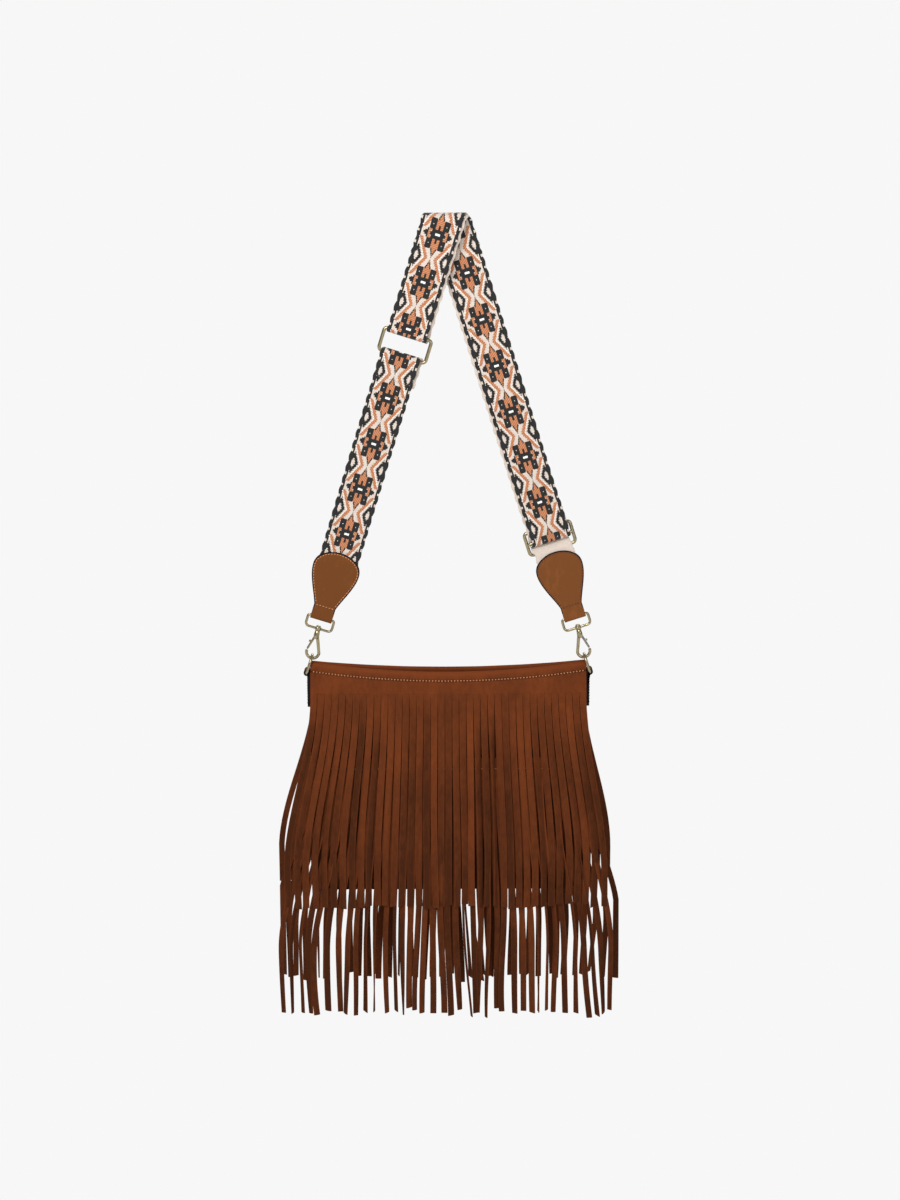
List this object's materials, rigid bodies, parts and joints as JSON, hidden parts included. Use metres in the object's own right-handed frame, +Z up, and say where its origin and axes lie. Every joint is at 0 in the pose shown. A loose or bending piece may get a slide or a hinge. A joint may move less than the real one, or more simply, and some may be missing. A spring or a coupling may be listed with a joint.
{
  "type": "fringed suede shoulder bag",
  "caption": "Suede shoulder bag with layered fringe on both faces, hung by a woven strap that clips to D-rings with swivel hooks.",
  "frame": {"origin": "the underside of the strap's crown, where it rests on the rod that the bag hangs from", "axes": "+Z up, the front of the bag faces -Y, +X to the right seen from the front"},
  "size_m": [0.3706, 0.092, 0.9177],
  "materials": {
    "webbing": "ecru cotton webbing with a woven geometric band on one face",
    "pad_suede": "tan suede with painted edges",
    "suede": "dark brown suede",
    "lining": "plain brown cotton",
    "gold_metal": "polished light gold plating",
    "steel": "plain spring steel"
  },
  "bodies": {
    "strap": {"long_webbing": "webbing", "short_webbing": "webbing", "strap_ring": "gold_metal", "strap_slider": "gold_metal", "left_pad": "pad_suede", "right_pad": "pad_suede"},
    "left_loop": {"left_swivel_loop": "gold_metal"},
    "right_loop": {"right_swivel_loop": "gold_metal"},
    "left_hook": {"left_hook_body": "gold_metal", "left_gate_pin": "steel", "left_gate_spring": "steel"},
    "right_hook": {"right_hook_body": "gold_metal", "right_gate_pin": "steel", "right_gate_spring": "steel"},
    "left_gate": {"left_hook_gate": "gold_metal"},
    "right_gate": {"right_hook_gate": "gold_metal"},
    "left_d": {"left_d_ring": "gold_metal"},
    "right_d": {"right_d_ring": "gold_metal"},
    "bag": {"front_panel": "suede", "back_panel": "suede", "gusset": "suede", "lining": "lining", "front_upper_fringe": "suede", "front_lower_fringe": "suede", "back_upper_fringe": "suede", "back_lower_fringe": "suede", "left_side_tab": "suede", "right_side_tab": "suede", "snap_socket": "gold_metal", "snap_stud": "gold_metal"}
  },
  "joints": [
    {"name": "bag_swing", "type": "hinge", "parent": "strap", "child": "bag", "pos_m": [0, 0, -0.49511], "axis": [1, 0, 0], "range_deg": [-20, 20]},
    {"name": "left_loop_rock", "type": "hinge", "parent": "strap", "child": "left_loop", "pos_m": [-0.14412, -0.00021, -0.44772], "axis": [0.9532, 0.0049, -0.3023], "range_deg": [-2, 2]},
    {"name": "left_swivel", "type": "hinge", "parent": "left_loop", "child": "left_hook", "pos_m": [-0.1482, 0, -0.46059], "axis": [0.2334, 0, 0.9724], "range_deg": [-35, 35]},
    {"name": "left_gate_open", "type": "hinge", "parent": "left_hook", "child": "left_gate", "pos_m": [-0.15219, 0, -0.46992], "axis": [0, -1, 0], "range_deg": [0, 25], "stiffness_Nm_per_rad": 0.004, "springref_deg": -17.19},
    {"name": "left_d_rock", "type": "hinge", "parent": "bag", "child": "left_d", "pos_m": [-0.16154, 0, -0.51092], "axis": [0, -1, 0], "range_deg": [0, 3]},
    {"name": "right_loop_rock", "type": "hinge", "parent": "strap", "child": "right_loop", "pos_m": [0.14412, 0.00021, -0.44772], "axis": [0.9532, 0.0049, 0.3023], "range_deg": [-2, 2]},
    {"name": "right_swivel", "type": "hinge", "parent": "right_loop", "child": "right_hook", "pos_m": [0.1482, 0, -0.46059], "axis": [-0.2334, 0, 0.9724], "range_deg": [-35, 35]},
    {"name": "right_gate_open", "type": "hinge", "parent": "right_hook", "child": "right_gate", "pos_m": [0.15219, 0, -0.46992], "axis": [0, 1, 0], "range_deg": [0, 25], "stiffness_Nm_per_rad": 0.004, "springref_deg": -17.19},
    {"name": "right_d_rock", "type": "hinge", "parent": "bag", "child": "right_d", "pos_m": [0.16154, 0, -0.51092], "axis": [0, 1, 0], "range_deg": [0, 3]}
  ],
  "couplings": [
    {"joint": "left_loop_rock", "follows": "bag_swing", "ratio": 0.1},
    {"joint": "right_loop_rock", "follows": "bag_swing", "ratio": 0.1}
  ]
}
